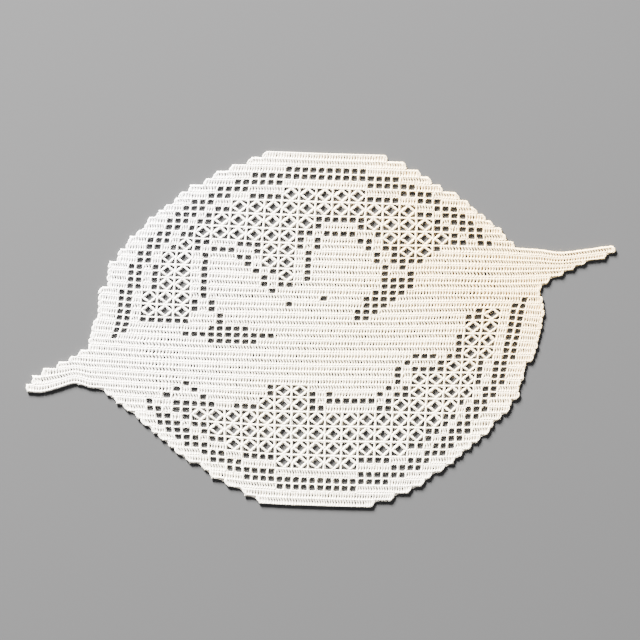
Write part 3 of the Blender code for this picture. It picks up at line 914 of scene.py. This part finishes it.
def cloth_colour(tree, where):
    """Cream: warmer towards the right, whiter in two patches (the upper left one a painted pool of brighter
    light), and a little uneven from stitch to stitch.
    """
    # from 0 at one side of the cloth to 1 at the other, so its middle is halfway
    way = node(
        tree, "Mapping", Vector=where, Location=(0.5, 0.0, 0.0), Rotation=(0.0, 0.0, SHADES_TURN),
        Scale=(1 / SHADES_WIDTH, 1 / SHADES_WIDTH, 1.0),
    )
    gradient = node(tree, "TexGradient", Vector=way.outputs["Vector"])
    blotches = node(tree, "TexNoise", Vector=where, Scale=14.0, Detail=3.0, Roughness=0.6)
    strayed = multiply_add(tree, blotches.outputs["Fac"], BLOTCHES, gradient.outputs["Fac"])
    ramp = node(tree, "ValToRGB", Fac=strayed)
    stops = ramp.color_ramp.elements
    stops[0].position = SHADES[0][0]
    stops.new(SHADES[1][0])
    for stop, (_, shade) in zip(stops, SHADES):
        stop.color = (*shade, 1)
    colour = ramp.outputs["Color"]
    # the patches are mixed over the cream: the upper left one is painted light, the other is paler cream
    for white, across, up, radius in PAINTED_LIGHT_AND_PALE_PATCHES:
        about = node(
            tree, "Mapping", Vector=where, Location=(-across / radius, -up / radius, 0.0),
            Scale=(1 / radius, 1 / radius, 1.0),
        )
        patch = node(tree, "TexGradient", Vector=about.outputs["Vector"])
        patch.gradient_type = "SPHERICAL"
        colour = mixed(tree, "MIX", patch.outputs["Fac"], colour, (*white, 1))
    mottle = node(tree, "TexNoise", Vector=where, Scale=420.0, Detail=2.0)
    tint = node(tree, "MapRange", Value=mottle.outputs["Fac"], To_Min=0.93, To_Max=1.05)
    return mixed(tree, "MULTIPLY", 1.0, colour, tint.outputs["Result"])


def thread_relief(tree, where, direction, scale):
    """The ply of the thread as fine ridges that run in a direction, and loose fibres on top."""
    turn = node(tree, "Mapping", Vector=where, Rotation=(0.0, 0.0, math.radians(direction)))
    ply = node(tree, "TexWave", Vector=turn.outputs["Vector"], Scale=scale, Distortion=1.2, Detail=1.0)
    fibres = node(tree, "TexNoise", Vector=where, Scale=3800.0, Detail=3.0, Roughness=0.7)
    rough = multiply_add(tree, fibres.outputs["Fac"], FIBRES, ply.outputs["Fac"])
    return node(tree, "Bump", Strength=RELIEF, Distance=RELIEF_DEPTH, Height=rough).outputs["Normal"]


def cotton(name, direction, scale):
    """Matt cream cotton thread, whose ply runs in a direction."""
    material = bpy.data.materials.new(name)
    material.use_nodes = True
    tree = material.node_tree
    where = node(tree, "TexCoord").outputs["Object"]
    fill_in(
        tree, tree.nodes["Principled BSDF"], Roughness=0.88, Sheen_Weight=0.25, Sheen_Roughness=0.5,
        Specular_IOR_Level=0.25, Base_Color=cloth_colour(tree, where),
        Normal=thread_relief(tree, where, direction, scale),
    )
    return material


# ---------------------------------------------------------------- building it
def build():
    """Lays the stitches and the thin cloth behind them. Returns the thin cloth, then the other pieces."""
    random = np.random.default_rng(SEED)
    cells, middles = chart()
    cottons = {name: cotton("cotton_" + name, *ply) for name, ply in PLY.items()}
    kinds = one_of_each()
    laid = []
    for part, rows in PARTS.items():
        uprights = lay_uprights(kinds, cells, middles, rows, random)
        laid.append((joined("uprights_" + part, uprights), "upright"))
        chains = lay_chains(kinds, cells, middles, rows, random)
        laid.append((joined("chains_" + part, chains), "chain"))
    laid.append((lay("lozenges", kinds["lozenge"], middles, random, "lozenge"), "lozenge"))
    for once in kinds.values():
        bpy.data.objects.remove(once, do_unlink=True)
    cloth = back_cloth(cells, middles, random)
    for piece, thread_way in laid + [(cloth, "upright")]:
        piece.data.materials.clear()
        piece.data.materials.append(cottons[thread_way])
    return cloth, [piece for piece, _ in laid]


def area_light(name, power, width, place_at, colour):
    """A round light that shines at the middle of the cloth."""
    light = bpy.data.lights.new(name, "AREA")
    light.energy = power
    light.shape = "DISK"
    light.size = width
    light.color = colour
    lamp = bpy.data.objects.new(name, light)
    lamp.location = place_at
    lamp.rotation_euler = (-Vector(place_at)).to_track_quat("-Z", "Y").to_euler()
    bpy.context.scene.collection.objects.link(lamp)


def stage():
    """A plain pale table, soft light from the top left, and a camera straight above."""
    deselect()
    bpy.ops.mesh.primitive_plane_add(size=TABLE_WIDTH, location=(0, 0, TABLE_LEVEL))
    floor = bpy.context.object
    floor.name = "table"
    pale = bpy.data.materials.new("pale_table")
    pale.use_nodes = True
    tree = pale.node_tree
    fill_in(tree, tree.nodes["Principled BSDF"], Base_Color=(*TABLE_GREY, 1), Roughness=0.9)
    floor.data.materials.append(pale)
    for name, light in LIGHTS.items():
        area_light(name, *light)
    world = bpy.data.worlds.new("soft_room")
    world.use_nodes = True
    room = world.node_tree
    fill_in(room, room.nodes["Background"], Color=(*ROOM_COLOUR, 1), Strength=ROOM_STRENGTH)
    bpy.context.scene.world = world
    camera_data = bpy.data.cameras.new("above")
    camera_data.type = "ORTHO"
    camera_data.ortho_scale = PHOTO_WIDTH
    camera = bpy.data.objects.new("above", camera_data)
    camera.location = (-MIDDLE_X * MM, PHOTO_MIDDLE - MIDDLE_Y * MM, CAMERA_HEIGHT)
    bpy.context.scene.collection.objects.link(camera)
    bpy.context.scene.camera = camera


cloth, stitches = build()
for piece in [cloth] + stitches:
    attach(piece, "root")
    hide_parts("doily")
stage()
